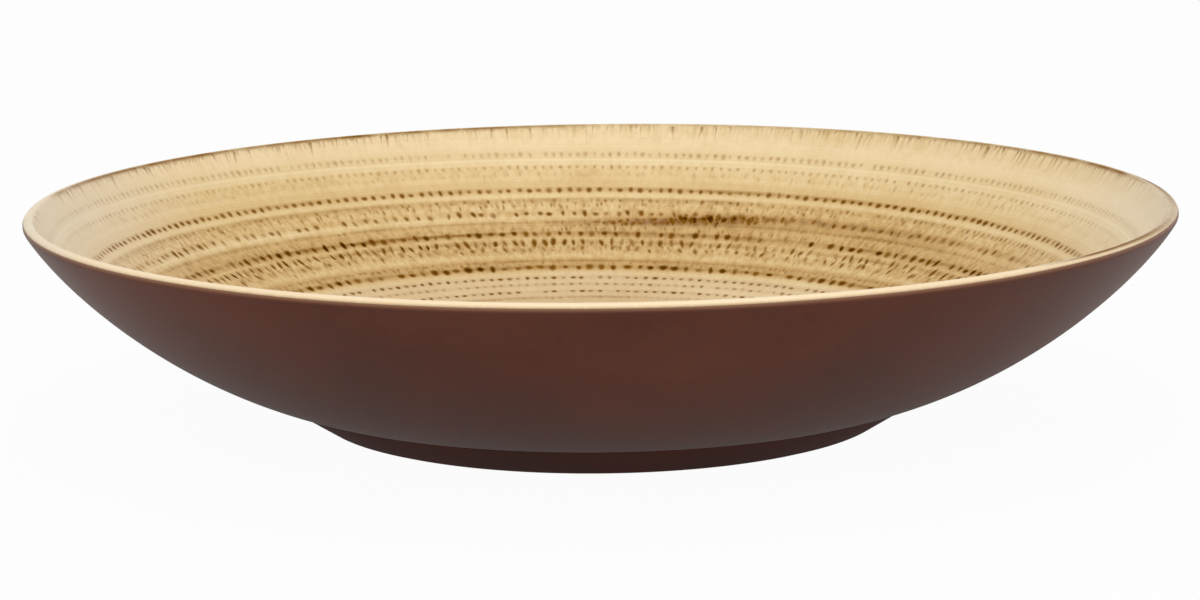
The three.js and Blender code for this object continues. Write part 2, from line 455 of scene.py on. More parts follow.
def lining(drop, angle):
    """Darkness of the hair lines that run along the rings."""
    total = np.zeros_like(drop)
    for ring in RINGS:
        strength = ring.style.line * patchy(angle, ring.seed + LINE_SEED, LINE_PATCHES) * sheen_washout(angle)
        total = np.maximum(total, strength * hump(drop, ring.drop - LINE_RISE, LINE_WIDTH))
    return total


# Brown edge on the inner side of the lip along the far half, from where and over how much of the sine of
# the angle it sets in, and the stretch where it is worn thin
RIM_LINE_START = 0.03
RIM_LINE_FADE = 0.15
RIM_LINE_DROP = -0.65
RIM_LINE_WIDTH = 0.82
RIM_LINE_DARKNESS = 0.44
WORN_MIDDLE = 77
WORN_WIDTH = 24
WORN_SHARE = 0.46

# The same edge where it lies on the crest, from the near right round the right tip: from and to in
# degrees, how far it fades at both ends, and the stretch where it is smeared wider and paler
CREST_LINE_DROP = -1.7
CREST_LINE_WIDTH = 0.7
CREST_LINE_DARKNESS = 0.60
CREST_LINE_STRETCH = (-50, 20)
CREST_LINE_FADE = 12
CREST_SMEAR_MIDDLE = -11
CREST_SMEAR_WIDTH = 13
CREST_SMEAR_SPREAD = 1.6
CREST_SMEAR_PALENESS = 0.45

# The outer side of the lip, where the cream bleeds into the brown coat
BLEED_START_DEGREES = 62
BLEED_DARKNESS = 0.42
BLEED_POWER = 1.6
BLEED_PALENESS = 0.6
BLEED_PALE_POWER = 2.2


def rim_line(drop, angle):
    """Darkness of the brown edge: inside the lip along the far half, on the crest round the right tip."""
    far = np.clip((np.sin(angle) - RIM_LINE_START) / RIM_LINE_FADE, 0, 1)
    worn = 1 - WORN_SHARE * stretch(angle, WORN_MIDDLE, WORN_WIDTH)
    uneven = patchy(angle, RANDOM_SEED + EDGE_SEED, EDGE_PATCHES)
    edge = RIM_LINE_DARKNESS * far * worn * uneven * hump(drop, RIM_LINE_DROP, RIM_LINE_WIDTH)
    degrees = np.degrees(angle)
    start, end = CREST_LINE_STRETCH
    crest = np.clip(np.minimum(degrees - start, end - degrees) / CREST_LINE_FADE, 0, 1)
    smeared = hump(degrees, CREST_SMEAR_MIDDLE, CREST_SMEAR_WIDTH)
    spread = CREST_LINE_WIDTH * (1 + CREST_SMEAR_SPREAD * smeared)
    darkness = CREST_LINE_DARKNESS * crest * (1 - CREST_SMEAR_PALENESS * smeared)
    return np.maximum(edge, darkness * hump(drop, CREST_LINE_DROP, spread))


def lip_bleed(drop):
    """Darkness of the cream where it thins out towards the brown coat on the outside of the lip."""
    degrees = LIP_INSIDE_DEGREES + np.degrees(drop / LIP_ROUND)
    reach = (BLEED_START_DEGREES - degrees) / (BLEED_START_DEGREES - LIP_LINE_DEGREES)
    return BLEED_DARKNESS * np.clip(reach, 0, 1) ** BLEED_POWER


# Painted highlight: on the near half the crest of the lip is left plain pale cream, without toast or
# strokes: from where, and over how much of the sine of the angle
HIGHLIGHT_START = 0.15
HIGHLIGHT_FADE = 0.5

# Painted sheen: paler glaze at both sides, where the inside is seen edge on. From which cosine of the
# angle on the right and left, over how much of it, its strength at the lip and the drop over which it
# fades by 1
SHEEN_RIGHT = 0.88
SHEEN_LEFT = 0.8
SHEEN_FADE = 0.19
SHEEN_STRENGTH = 1.3
SHEEN_DROP = 24

# Greyer glaze on the floor: its share, the drop where it starts, and over how far
FLOOR_GREY = 0.45
FLOOR_GREY_DROP = 49
FLOOR_GREY_FADE = 3


def tones(drop, angle):
    """What the glaze shows: toasting, oxide, strokes, painted sheen and highlight, and the greyer floor.
    """
    angle = wrapped(angle)
    thrown, turn = thrown_from_plate(drop, angle)
    # Painted highlight on the near crest, where toast and strokes are taken out; inside is what is left
    near_highlight = np.clip((-np.sin(angle) - HIGHLIGHT_START) / HIGHLIGHT_FADE, 0, 1)
    inside = 1 - near_highlight * (1 - np.clip(1 + drop / (LIP_ROUND / 2), 0, 1))
    # Where the painted sheen at the sides sets in, on the right and on the left
    sides = np.where(np.cos(angle) > 0, SHEEN_RIGHT, SHEEN_LEFT)
    side_painted_sheen = np.clip((np.abs(np.cos(angle)) - sides) / SHEEN_FADE, 0, 1)
    return {
        "fall": thrown,
        "toast": toasting(thrown, turn) * inside,
        "mark": np.maximum(np.maximum(lining(thrown, turn), rim_line(drop, angle)), lip_bleed(drop)),
        "stroke": np.interp(thrown, STROKE_DROPS, STROKE_SHARES) * inside * sheen_washout(angle),
        "sheen_and_grey": np.maximum(
            side_painted_sheen * np.clip(SHEEN_STRENGTH - drop / SHEEN_DROP, 0, 1),
            FLOOR_GREY * np.clip((thrown - FLOOR_GREY_DROP) / FLOOR_GREY_FADE, 0, 1)),
    }


# The rings are drawn in drop and angle about the throwing centre, then set on the plate

def shifted(drop, angle, shift):
    """Drop and angle of a place on the inside, once the centre they are taken about moves along X."""
    radius = inside_at(drop)[0]
    x = radius * np.cos(angle) - shift
    y = radius * np.sin(angle)
    return drop_at(np.hypot(x, y)), np.arctan2(y, x)


# The rings are not quite true. For three stretches of the plate: middle and half width in degrees, then
# drops, and how far the rings there lie lower than true rings
LEANS = (
    (4, 64, (0, 7, 13, 18), (0, -1.5, -1.3, 0)),
    (55, 40, (7, 10, 20, 24, 30, 35, 39, 46, 60), (-0.2, -0.2, -0.5, -0.45, 0, 0.5, 0.5, 0.25, 0.2)),
    (152, 32, (0, 7, 20, 24, 28, 31), (0, -0.4, -0.3, -0.6, -0.7, 0)))


def lean(drop, angle):
    """How far a ring lies lower than a true ring about the throwing centre."""
    total = np.zeros_like(drop)
    for middle, width, drops, amounts in LEANS:
        total = total + stretch(angle, middle, width) * np.interp(drop, drops, amounts)
    return total


def thrown_from_plate(drop, angle):
    """Drop and angle about the throwing centre, from drop and angle on the plate."""
    seen, turn = shifted(drop, angle, -OFF_CENTRE)
    nearly = seen - lean(seen, turn)
    return seen - lean(nearly, turn), turn


def thrown_to_plate(drop, angle):
    """Drop and angle on the plate, from drop and angle about the throwing centre."""
    return shifted(drop + lean(drop, angle), angle, OFF_CENTRE)


def on_inside(drop, angle, lift):
    """Points on the glaze, in millimetres, lifted off its combed surface."""
    radius, height, out, up = inside_at(drop)
    raised = relief(thrown_from_plate(drop, angle)[0]) + lift
    return around_axis(radius + out * raised, angle, height + up * raised)


def inside_normals(drop, angle):
    """The way that the combed glaze faces, for marks that lie in it."""
    out, up = inside_at(drop)[2:]
    thrown = thrown_from_plate(drop, angle)[0]
    slope = (relief(thrown + SLOPE_STEP) - relief(thrown - SLOPE_STEP)) / (2 * SLOPE_STEP)
    out, up = out + slope * up, up - slope * out
    normal = around_axis(out, angle, up)
    return normal / np.linalg.norm(normal, axis=1, keepdims=True)


# Meshes

def give(mesh, attributes):
    """Stores a number for each point of a mesh, under each name."""
    for key, values in attributes.items():
        layer = mesh.attributes.new(key, "FLOAT", "POINT")
        layer.data.foreach_set("value", np.asarray(values, np.float32))


def closed_mesh(name, points, faces, attributes):
    """A smooth closed mesh that faces outwards."""
    mesh = bpy.data.meshes.new(name)
    mesh.from_pydata(np.asarray(points, float).tolist(), [], faces)
    give(mesh, attributes)
    shell = bmesh.new()
    shell.from_mesh(mesh)
    bmesh.ops.recalc_face_normals(shell, faces=shell.faces)
    shell.to_mesh(mesh)
    shell.free()
    mesh.shade_smooth()
    return mesh


def new_object(name, data):
    """An object in the scene, at the origin."""
    made = bpy.data.objects.new(name, data)
    bpy.context.scene.collection.objects.link(made)
    return made


def new_piece(name, points, faces, attributes=None):
    """An object with a closed mesh, from points in millimetres."""
    mesh = closed_mesh(name, np.asarray(points) * MM, faces, attributes or {})
    mesh.set_sharp_from_angle(angle=math.radians(SHARP_DEGREES))
    return new_object(name, mesh)


def ring_faces(count, closed, columns=COLUMNS):
    """Quads between rings of points, with a last row back to the first ring if closed."""
    column = np.arange(columns)
    following = (column + 1) % columns
    faces = []
    for index in range(count if closed else count - 1):
        low = index * columns
        high = ((index + 1) % count) * columns
        faces.append(np.stack([low + column, low + following, high + following, high + column], 1))
    return np.concatenate(faces).tolist()


def pole_faces(ring, pole, columns=COLUMNS):
    """Triangles from a ring of points to a pole."""
    start = ring * columns
    return [(start + side, start + (side + 1) % columns, pole) for side in range(columns)]


def whirled(section):
    """A ring of points round the axis for each point of a half section."""
    return around_axis(section[:, :1], AROUND, section[:, 1:])


def turned(name, section, poles=False):
    """A piece turned from a half section that closes on itself, or from the axis to the axis."""
    section = np.asarray(section, float)
    around = section[1:-1] if poles else section
    points = whirled(around).reshape(-1, 3)
    faces = ring_faces(len(around), not poles)
    if poles:
        first = len(points)
        points = np.concatenate([points, [[0, 0, section[0, 1]], [0, 0, section[-1, 1]]]])
        faces += pole_faces(0, first) + pole_faces(len(around) - 1, first + 1)
    return new_piece(name, points, faces)


def settle(piece, material, slot, *nodes):
    """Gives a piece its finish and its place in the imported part."""
    if material:
        piece.data.materials.clear()
        piece.data.materials.append(material)
    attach(piece, "root")
    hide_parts(*nodes)


def meet(first, first_depth, second, second_depth):
    """Where two straight faces meet when each is set back by a depth of its own."""
    rows = np.array([first[1], second[1]])
    reach = [np.dot(first[1], first[0]) - first_depth, np.dot(second[1], second[0]) - second_depth]
    return np.linalg.solve(rows, reach)


def face(point, facing):
    facing = np.array(facing, float)
    return np.array(point, float), facing / np.linalg.norm(facing)


# Points in each eased corner, and into how many parts an edge is cut, of which a corner takes one at most
CORNER_POINTS = 4
EDGE_PARTS = 2.2


def rounded(points, radius):
    """An outline with every corner eased by a small curve."""
    points = np.asarray(points, float)
    made = []
    for index, corner in enumerate(points):
        before = points[index - 1] - corner
        after = points[(index + 1) % len(points)] - corner
        reach = min(radius, np.linalg.norm(before) / EDGE_PARTS, np.linalg.norm(after) / EDGE_PARTS)
        start = corner + before / np.linalg.norm(before) * reach
        end = corner + after / np.linalg.norm(after) * reach
        for share in np.linspace(0, 1, CORNER_POINTS):
            made.append((1 - share) ** 2 * start + 2 * share * (1 - share) * corner + share ** 2 * end)
    return np.array(made)


# Materials

def linear(code):
    """An sRGB hex colour as linear red, green, blue and a full alpha."""
    parts = [int(code[i:i + 2], 16) / 255 for i in (1, 3, 5)]
    return [p / 12.92 if p <= 0.04045 else ((p + 0.055) / 1.055) ** 2.4 for p in parts] + [1.0]


def add(tree, kind, inputs=None, **settings):
    """Adds a node with its settings, and links or sets its inputs."""
    node = tree.nodes.new(kind)
    for key, value in settings.items():
        setattr(node, key, value)
    for key, value in (inputs or {}).items():
        if isinstance(value, bpy.types.NodeSocket):
            tree.links.new(value, node.inputs[key])
        else:
            node.inputs[key].default_value = value
    return node


def empty_tree(owner):
    """The node tree of a material or a world, cleared."""
    owner.use_nodes = True
    owner.node_tree.nodes.clear()
    return owner.node_tree


def new_material(name):
    """A plain node material, with its tree and shader."""
    material = bpy.data.materials.new(name)
    tree = empty_tree(material)
    shader = add(tree, "ShaderNodeBsdfPrincipled")
    add(tree, "ShaderNodeOutputMaterial", {"Surface": shader.outputs["BSDF"]})
    return material, tree, shader


def summed(tree, *terms):
    """A sum of (socket, weight, middle) terms: each adds weight times its distance from the middle."""
    total = 0.0
    for value, weight, middle in terms:
        term = {0: value, 1: weight, 2: -weight * middle}
        part = add(tree, "ShaderNodeMath", term, operation="MULTIPLY_ADD")
        total = add(tree, "ShaderNodeMath", {0: part.outputs[0], 1: total}).outputs[0]
    return total


def surface(tree, shader, sheen, roughness, height, bumps):
    """Gives a shader its uneven roughness and its fine bumps."""
    rough = add(tree, "ShaderNodeMath", {0: sheen, 1: roughness})
    tree.links.new(rough.outputs[0], shader.inputs["Roughness"])
    strength, depth = bumps
    bump = add(tree, "ShaderNodeBump", {"Height": height, "Strength": strength, "Distance": depth * MM})
    tree.links.new(bump.outputs["Normal"], shader.inputs["Normal"])


# Sizes of the patterns in the glazes and the clay, in millimetres. Real grain and grit are finer, and are
# drawn this coarse to show
HATCH_SPACING = 1.35
HATCH_LENGTH = 2.4
HATCH_RADIUS = 105
COMB_SPACING = 0.7
MOTTLE_SIZE = 16
GRAIN_SIZE = 0.8
SPECK_SIZE = 2.4
CLAY_GRIT = 0.6

# Strength of the fine bumps in each surface, and their depth in millimetres
CREAM_BUMPS = (0.8, 0.05)
BROWN_BUMPS = (0.5, 0.03)
CLAY_BUMPS = (0.8, 0.08)

# Cream glaze from thick cream to burnt tan: share of tan and colour
# The palest stop is raised for the painted highlight on the near crest, where the toast falls to nothing
CREAM_STOPS = (
    (0.0, "#fee4ba"), (0.18, "#f1d9a7"), (0.32, "#e6c98f"), (0.46, "#dab777"), (0.62, "#c9a05a"),
    (0.8, "#af8540"), (1.0, "#8c5d1c"))
CREAM_ROUGHNESS = 0.40

# What lies over the cream: from and to in darkness, most share, and colour
# First a pale layer: the painted sheen at the sides and the greyer floor. Then the oxide
SHEEN_AND_GREY_LAYER = (0.0, 1.0, 0.6, "#e8d7bc")
BLED_LAYER = (0.0, 0.62, 0.94, "#895a10")
BURNT_LAYER = (0.42, 0.98, 0.96, "#482302")

# Range of the hatch that shows as strokes, and the tan at both ends of it
STROKE_RANGE = (0.34, 0.72, -0.4, 1.0)

# Shine of the cream glaze, and the darkness of oxide that takes it all
CREAM_SHINE = (("Specular IOR Level", 0.5), ("Sheen Weight", 0.06))
DULL_DARKNESS = 0.6

# Iron glaze, whose matt skin mirrors less than a clear glaze with an index of 1.5, and clay
LIP_TAN = "#b98a6b"
BROWN_IOR = 1.23
BROWN_SHEEN_ROUGHNESS = 0.35
CLAY_DARK = "#6e4530"
CLAY_PALE = "#a3765a"
CLAY_ROUGHNESS = 0.85


def cream_glaze(name):
    """Satin stoneware glaze over combed clay: cream where it lies thick, toasted tan where the tool cut
    through, with oxide marks that bleed into it. The eye sees soft rings, a fine radial hatch and a low
    sheen."""
    material, tree, shader = new_material(name)
    fall, toast, mark, stroke, sheen_and_grey = (
        add(tree, "ShaderNodeAttribute", attribute_name=key).outputs["Fac"]
        for key in ("fall", "toast", "mark", "stroke", "sheen_and_grey"))
    place = add(tree, "ShaderNodeTexCoord").outputs["Object"]
    centred = add(tree, "ShaderNodeVectorMath", {0: place, 1: (OFF_CENTRE * MM, 0, 0)}, operation="ADD")
    flat = add(tree, "ShaderNodeVectorMath", {0: centred.outputs[0], 1: (1, 1, 0)}, operation="MULTIPLY")
    around = add(tree, "ShaderNodeVectorMath", {0: flat.outputs[0]}, operation="NORMALIZE").outputs[0]
    spokes = HATCH_RADIUS / HATCH_SPACING
    spread = add(tree, "ShaderNodeVectorMath", {0: around, 1: (spokes, spokes, 0)}, operation="MULTIPLY")
    rings_down = add(tree, "ShaderNodeMath", {0: fall, 1: 1 / HATCH_LENGTH}, operation="MULTIPLY")
    lift = add(tree, "ShaderNodeCombineXYZ", {"Z": rings_down.outputs[0]})
    polar = add(tree, "ShaderNodeVectorMath", {0: spread.outputs[0], 1: lift.outputs[0]}, operation="ADD")
    hatch = add(tree, "ShaderNodeTexNoise", {
        "Vector": polar.outputs[0], "Scale": 1, "Detail": 2.0}).outputs["Fac"]
    comb = add(tree, "ShaderNodeTexNoise", {
        "W": fall, "Scale": 1 / COMB_SPACING, "Detail": 3.0}, noise_dimensions="1D").outputs["Fac"]
    mottle = add(tree, "ShaderNodeTexNoise", {
        "Vector": place, "Scale": 1 / (MOTTLE_SIZE * MM), "Detail": 3.0}).outputs["Fac"]
    low, high, to_low, to_high = STROKE_RANGE
    scored = add(tree, "ShaderNodeMapRange", {
        "Value": hatch, "From Min": low, "From Max": high, "To Min": to_low, "To Max": to_high,
    }, interpolation_type="SMOOTHSTEP").outputs["Result"]
    strokes = add(tree, "ShaderNodeMath", {0: scored, 1: stroke}, operation="MULTIPLY").outputs[0]
    tone = summed(tree, (toast, 1.0, 0), (strokes, 0.16, 0.1), (comb, 0.15, 0.5), (mottle, 0.20, 0.5))
    ramp = add(tree, "ShaderNodeValToRGB", {"Fac": tone})
    while len(ramp.color_ramp.elements) < len(CREAM_STOPS):
        ramp.color_ramp.elements.new(0.5)
    for element, (position, code) in zip(ramp.color_ramp.elements, CREAM_STOPS):
        element.position = position
        element.color = linear(code)
    broken = summed(tree, (mark, 1.0, 0), (hatch, 0.25, 0.5))
    oxide = add(tree, "ShaderNodeMath", {0: broken, 1: mark}, operation="MINIMUM").outputs[0]
    colour = ramp.outputs["Color"]
    # A pale layer of painted sheen at the sides and of greyer floor, then the oxide bled and burnt
    for value, layer in ((sheen_and_grey, SHEEN_AND_GREY_LAYER), (oxide, BLED_LAYER), (oxide, BURNT_LAYER)):
        low, high, most, code = layer
        share = add(tree, "ShaderNodeMapRange", {
            "Value": value, "From Min": low, "From Max": high, "To Min": 0.0, "To Max": most,
        }, interpolation_type="SMOOTHSTEP").outputs["Result"]
        colour = add(tree, "ShaderNodeMix", {
            0: share, 6: colour, 7: linear(code)}, data_type="RGBA").outputs[2]
    tree.links.new(colour, shader.inputs["Base Color"])
    for socket, full in CREAM_SHINE:
        shine = add(tree, "ShaderNodeMapRange", {
            "Value": mark, "From Min": 0.0, "From Max": DULL_DARKNESS, "To Min": full, "To Max": 0.0,
        }, interpolation_type="SMOOTHSTEP")
        tree.links.new(shine.outputs["Result"], shader.inputs[socket])
    sheen = summed(tree, (tone, 0.12, 0.4), (comb, 0.10, 0.5))
    height = summed(tree, (comb, 1.0, 0.5), (hatch, 0.8, 0.5), (mark, -1.2, 0))
    surface(tree, shader, sheen, CREAM_ROUGHNESS, height, CREAM_BUMPS)
    return material


def brown_glaze(name, deep, warm, roughness, haze):
    """Satin-matt iron glaze: an even dark brown with a slight red cast where it runs thin, broken by fine
    grain, so that it shows a broad dull sheen and pales only where it is seen edge on."""
    material, tree, shader = new_material(name)
    place = add(tree, "ShaderNodeTexCoord").outputs["Object"]
    mottle, speck, grain = (
        add(tree, "ShaderNodeTexNoise", {
            "Vector": place, "Scale": 1 / (size * MM), "Detail": detail}).outputs["Fac"]
        for size, detail in ((MOTTLE_SIZE * 2, 4.0), (SPECK_SIZE, 2.0), (GRAIN_SIZE, 2.0)))
    tone = summed(tree, (mottle, 1.5, 0.17), (speck, 0.5, 0.5), (grain, 0.25, 0.5))
    lip = add(tree, "ShaderNodeAttribute", attribute_name="lip").outputs["Fac"]
    colour = linear(deep)
    for share, code in ((tone, warm), (lip, LIP_TAN)):
        colour = add(tree, "ShaderNodeMix", {
            0: share, 6: colour, 7: linear(code)}, data_type="RGBA").outputs[2]
    tree.links.new(colour, shader.inputs["Base Color"])
    shader.inputs["IOR"].default_value = BROWN_IOR
    shader.inputs["Sheen Weight"].default_value = haze
    shader.inputs["Sheen Roughness"].default_value = BROWN_SHEEN_ROUGHNESS
    sheen = summed(tree, (speck, 0.10, 0.5), (mottle, 0.12, 0.5))
    height = summed(tree, (grain, 1.0, 0.5), (speck, 0.6, 0.5))
    surface(tree, shader, sheen, roughness, height, BROWN_BUMPS)
    return material


def bare_stoneware(name):
    """Unglazed iron-bearing stoneware, turned and sponged: matt, warm brown and gritty."""
    material, tree, shader = new_material(name)
    place = add(tree, "ShaderNodeTexCoord").outputs["Object"]
    grit, cloud = (
        add(tree, "ShaderNodeTexNoise", {
            "Vector": place, "Scale": 1 / (size * MM), "Detail": detail}).outputs["Fac"]
        for size, detail in ((CLAY_GRIT, 3.0), (MOTTLE_SIZE, 2.0)))
    tone = summed(tree, (grit, 1.2, 0.1), (cloud, 0.6, 0.5))
    colour = add(tree, "ShaderNodeMix", {
        0: tone, 6: linear(CLAY_DARK), 7: linear(CLAY_PALE)}, data_type="RGBA").outputs[2]
    tree.links.new(colour, shader.inputs["Base Color"])
    surface(tree, shader, summed(tree, (grit, 0.15, 0.5)), CLAY_ROUGHNESS, grit, CLAY_BUMPS)
    return material


CREAM = cream_glaze("toasted cream stoneware glaze")
OXIDE = cream_glaze("iron oxide marks in cream glaze")
BROWN = brown_glaze(
    "satin matt iron brown glaze", deep="#4e2a1f", warm="#663829", roughness=0.5, haze=0.11)
# Foot coat: the wall's brown a little darker and redder, as painted shade under the plate, and more matt
SHADED_FOOT_BROWN = brown_glaze(
    "matt iron glaze with painted shade", deep="#4b271d", warm="#643429", roughness=0.6, haze=0.02)
CLAY = bare_stoneware("bare stoneware clay")


# Pieces of the pot

# Rows of points in the cream coat: round the lip, closely under it, down the wall, over the floor, behind
LIP_ROWS = 22
CLOSE_STEP = 0.2
CLOSE_DEPTH = 3
WALL_STEP = 0.34
FLOOR_ROWS = 58
BACK_ROWS = 30

# Rows in the brown coat: up the wall, round the lip and behind the lip; and how many rows in front of a
# coat there are for each row behind it
OUTSIDE_ROWS = 70
OUTSIDE_LIP_ROWS = 12
LIP_BACK_ROWS = 4
BACK_EVERY = 3

# Rows in the clay: outside, lip, inside and underside
CLAY_WALL_ROWS = 24
CLAY_LIP_ROWS = 9
CLAY_INSIDE_ROWS = 40
UNDER_ROWS = 10


def lip_line(angle):
    """Where the two coats meet on the outside of the lip, in degrees round the lip."""
    wave = LIP_LINE_WANDER * (wander(angle, RANDOM_SEED + LIP_SEED, LIP_LINE_TURNS) - 0.5)
    return LIP_LINE_DEGREES + wave + LIP_LINE_RISE * np.cos(angle) ** 2


def lip_rings(start, end, count, depth):
    """Rings of points round the lip at a depth under it, from and to degrees given for each column."""
    made = []
    for share in np.linspace(0, 1, count):
        angle = np.radians(start + (end - start) * share)
        radius = LIP_CENTRE[0] + (LIP_ROUND - depth) * np.cos(angle)
        height = LIP_CENTRE[1] + (LIP_ROUND - depth) * np.sin(angle)
        made.append(around_axis(radius, AROUND, height))
    return made


def cream_inside():
    """The cream coat: folded over the lip, combed into rings down the wall and across the floor."""
    line = lip_line(AROUND) + math.degrees(BOND / LIP_ROUND)
    edge = -LIP_ROUND * np.radians(LIP_INSIDE_DEGREES - line)
    shares = np.linspace(0, 1, LIP_ROWS)
    levels = np.concatenate([
        np.arange(CLOSE_STEP, CLOSE_DEPTH, CLOSE_STEP),
        np.arange(CLOSE_DEPTH, WALL_DROP, WALL_STEP),
        np.linspace(WALL_DROP, FULL_DROP, FLOOR_ROWS)[:-1]])
    drops = [edge * (1 - share) for share in shares]
    drops += [np.full(COLUMNS, drop) for drop in levels]
    behind = [edge * (1 - share) for share in shares[::BACK_EVERY]]
    behind += [np.full(COLUMNS, drop) for drop in np.linspace(0, FULL_DROP, BACK_ROWS)[1:-1]]
    front = [on_inside(drop, AROUND, 0) for drop in drops]
    back = [on_inside(drop, AROUND, -GLAZE) for drop in behind]
    rows = front[::-1] + back
    points = np.concatenate(rows + [[[0, 0, FLOOR_HEIGHT], [0, 0, FLOOR_HEIGHT - GLAZE]]])
    poles = len(points) - 2
    faces = ring_faces(len(rows), False) + pole_faces(0, poles) + pole_faces(len(rows) - 1, poles + 1)
    order = np.concatenate(drops[::-1] + behind + [[FULL_DROP, FULL_DROP]])
    angles = np.concatenate([np.tile(AROUND, len(rows)), [0, 0]])
    return new_piece("cream_inside", points, faces, tones(order, angles))


def brown_outside():
    """The brown coat on the outside of the wall, from the foot seam to its line under the lip."""
    place, facing = wall_outside(OUTSIDE_ROWS)
    start = np.full(COLUMNS, float(LIP_OUTSIDE_DEGREES))
    line = lip_line(AROUND)
    lip = lip_rings(start, line, OUTSIDE_LIP_ROWS, 0)[1:]
    front = [*whirled(place), *lip]
    under = (place - facing * GLAZE)[::BACK_EVERY]
    back = [*whirled(under), *lip_rings(start, line, LIP_BACK_ROWS, GLAZE)[1:]]
    rows = front + back[::-1]
    pale = np.zeros(len(rows))
    shares = np.arange(1, len(lip) + 1) / len(lip)
    pale[len(place):len(front)] = BLEED_PALENESS * shares ** BLEED_PALE_POWER
    tone = {"lip": np.repeat(pale, COLUMNS)}
    return new_piece("brown_outside", np.concatenate(rows), ring_faces(len(rows), True), tone)


FOOT_BASE = np.array([FOOT_TOP_RADIUS - FOOT_FLARE, 0])
RECESS_BASE = np.array([FOOT_BASE[0] - FOOT_FACE_WIDTH, 0])
RECESS_TOP = np.array([RECESS_BASE[0] - FOOT_INSIDE_LEAN, RECESS_HEIGHT])
CEILING = face(RECESS_TOP, (0, -1))
RECESS_WALL = face(RECESS_TOP, (-RECESS_HEIGHT, -FOOT_INSIDE_LEAN))
FOOT_SIDE = face(SEAM, (SEAM_HEIGHT, -FOOT_FLARE))
SEAM_END = face(SEAM, SEAM - FOOT_BASE)
STANDING = face(FOOT_BASE, (0, -1))
BARE_LINE = face((0, BARE_EDGE), (0, -1))
SHELF_EDGE = np.array([RECESS_TOP[0] + FOOT_SHELF, RECESS_HEIGHT])
UNDER_CURVE = (
    SHELF_EDGE, away(SHELF_EDGE, 0, CURVE_REACH), away(SEAM, WALL_START_DEGREES, -CURVE_REACH), SEAM)


def under_rise(count, depth):
    """The underside of the shell from the shelf out to the foot seam, at a depth under its surface."""
    place, along = bezier(UNDER_CURVE, np.linspace(0, 1, count))
    return place - beside(along) * depth


def clay_shell():
    """The thrown clay inside the coats."""
    place, facing = wall_outside(CLAY_WALL_ROWS)
    outside = place - facing * CLAY_DEPTH
    degrees = np.linspace(LIP_OUTSIDE_DEGREES, LIP_INSIDE_DEGREES, CLAY_LIP_ROWS)
    lip = [away(LIP_CENTRE, d, LIP_ROUND - CLAY_DEPTH) for d in degrees]
    fall = np.linspace(0, FULL_DROP, CLAY_INSIDE_ROWS)[1:-1]
    radius, height, out, up = inside_at(fall)
    inside = np.stack([radius - out * CLAY_DEPTH, height - up * CLAY_DEPTH], 1)
    section = np.concatenate([
        [[0, RECESS_HEIGHT + CLAY_DEPTH]], under_rise(UNDER_ROWS, CLAY_DEPTH)[:-1],
        outside, lip[1:], inside, [[0, FLOOR_HEIGHT - CLAY_DEPTH]]])
    return turned("clay_body", section, poles=True)


def foot_ring():
    """The turned clay ring that the plate stands on, with its face wiped bare."""
    seam_face = face(SEAM, wall_outside(CLAY_WALL_ROWS)[1][0])
    inner = meet(CEILING, GLAZE, RECESS_WALL, CLAY_DEPTH)
    outer = meet(seam_face, GLAZE, FOOT_SIDE, CLAY_DEPTH)
    inner_base = meet(STANDING, 0, RECESS_WALL, CLAY_DEPTH)
    outer_base = meet(STANDING, 0, FOOT_SIDE, CLAY_DEPTH)
    eased = rounded([inner, inner_base, outer_base, outer], EDGE_ROUND)
    base = eased[CORNER_POINTS:-CORNER_POINTS]
    rise = under_rise(UNDER_ROWS, GLAZE)[:-1][::-1]
    return turned("bare_foot", np.concatenate([base, [outer], rise, [inner]]))


def foot_coat():
    """The dark coat on the sloping side of the foot, from the seam to the wiped edge."""
    return turned("foot_coat", rounded([
        meet(SEAM_END, SEAM_GAP, FOOT_SIDE, 0),
        meet(SEAM_END, SEAM_GAP, FOOT_SIDE, GLAZE),
        meet(BARE_LINE, 0, FOOT_SIDE, GLAZE),
        meet(BARE_LINE, 0, FOOT_SIDE, 0),
    ], EDGE_ROUND))


def underside_coat():
    """The brown coat in the hollow of the foot."""
    front = (0, RECESS_HEIGHT)
    back = (0, RECESS_HEIGHT + GLAZE)
    eased = rounded([
        front, RECESS_TOP,
        meet(BARE_LINE, 0, RECESS_WALL, 0),
        meet(BARE_LINE, 0, RECESS_WALL, GLAZE),
        meet(CEILING, GLAZE, RECESS_WALL, GLAZE), back,
    ], EDGE_ROUND)
    section = np.concatenate([[front], eased[CORNER_POINTS:-CORNER_POINTS], [back]])
    return turned("underside_coat", section, poles=True)


# Marks, laid out along a straight line and then set round the plate

# A mark: its sides, its width halfway along, how much it widens above that and narrows below, its depth
DAB_SIDES = 8
DAB_WAIST = 0.82
DAB_SWELL = 0.18
DAB_KEEL = -0.5

# Rings of a mark from its edge inwards: share of its size, height and darkness
DAB_RINGS = ((1.0, 0.0, 0.0), (0.66, 0.6, 0.38), (0.36, 0.9, 0.88))

# Rows of a streak from the lip down: share of its length, width and darkness
STREAK_ROWS = ((0, 0.5, 0.2), (0.12, 0.9, 1.0), (0.4, 0.75, 0.7), (0.75, 0.5, 0.35), (1.0, 0.15, 0.0))

# Corners of each row of a streak: across and up
STREAK_CORNERS = ((-0.5, 0), (0, 1), (0.5, 0), (0, -0.4))


